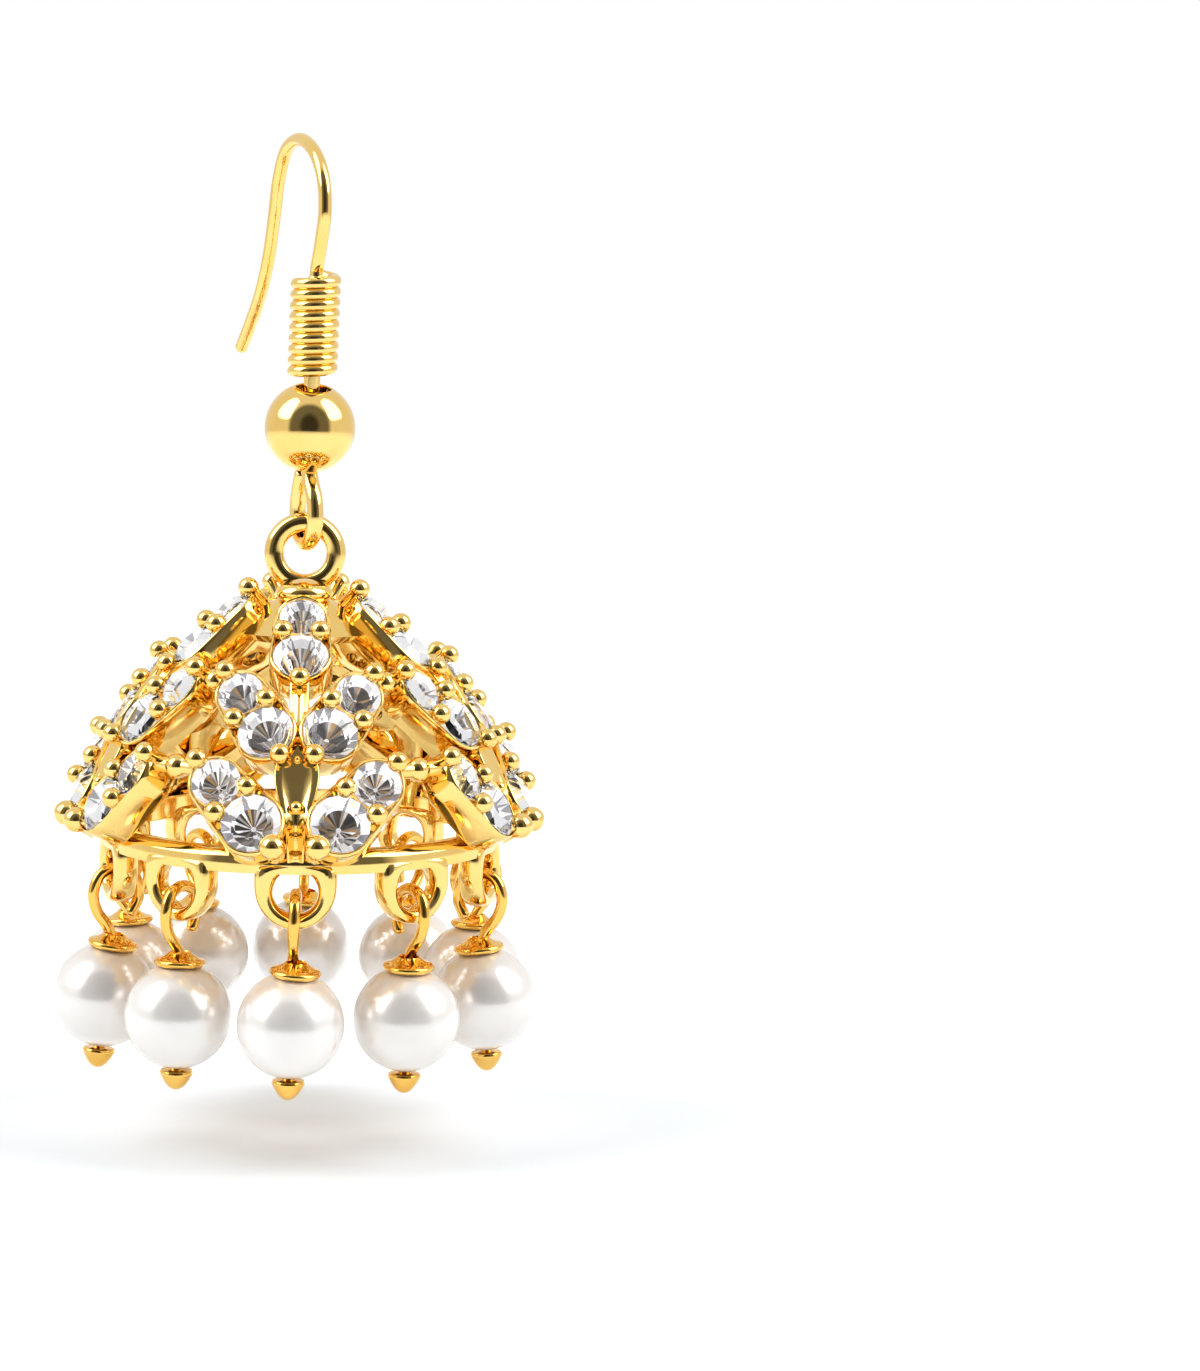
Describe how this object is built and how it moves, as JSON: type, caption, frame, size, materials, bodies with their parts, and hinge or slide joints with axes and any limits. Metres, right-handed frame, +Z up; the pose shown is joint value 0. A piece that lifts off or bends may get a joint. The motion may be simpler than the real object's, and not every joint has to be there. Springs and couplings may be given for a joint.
{
  "type": "jhumka earring",
  "caption": "Drop earring with a wire ear hook, a wound coil and a ball bead, and a pierced domed bell set with clear stones and fringed with pearl drops.",
  "frame": {"origin": "under the arch of the ear hook, at the middle of the wire's inner side, where the earring hangs in the ear", "axes": "+Z up; -Y towards the viewer of the picture, the front of the bell; +X to the viewer's right"},
  "size_m": [0.0279, 0.028, 0.0537],
  "materials": {
    "gold": "polished yellow gold plating",
    "deep_gold": "polished gold plating of a deeper tone",
    "pearl": "cream white nacre with a soft sheen",
    "crystal": "clear brilliant-cut stone"
  },
  "bodies": {
    "hook": {"ear_hook": "gold", "wire_coil": "gold", "hook_bead": "gold"},
    "bell": {"jhumka_bell": "gold", "pearl_1": "pearl", "bead_cap_1": "deep_gold", "head_pin_1": "deep_gold", "pearl_2": "pearl", "bead_cap_2": "deep_gold", "head_pin_2": "deep_gold", "pearl_3": "pearl", "bead_cap_3": "deep_gold", "head_pin_3": "deep_gold", "pearl_4": "pearl", "bead_cap_4": "deep_gold", "head_pin_4": "deep_gold", "pearl_5": "pearl", "bead_cap_5": "deep_gold", "head_pin_5": "deep_gold", "pearl_6": "pearl", "bead_cap_6": "deep_gold", "head_pin_6": "deep_gold", "pearl_7": "pearl", "bead_cap_7": "deep_gold", "head_pin_7": "deep_gold", "pearl_8": "pearl", "bead_cap_8": "deep_gold", "head_pin_8": "deep_gold", "pearl_9": "pearl", "bead_cap_9": "deep_gold", "head_pin_9": "deep_gold", "pearl_10": "pearl", "bead_cap_10": "deep_gold", "head_pin_10": "deep_gold"}
  },
  "joints": [
    {"name": "bell_swing", "type": "hinge", "parent": "hook", "child": "bell", "pos_m": [0.00065, -0.00159, -0.02273], "axis": [0, 1, 0], "range_deg": [-40, 40]}
  ]
}
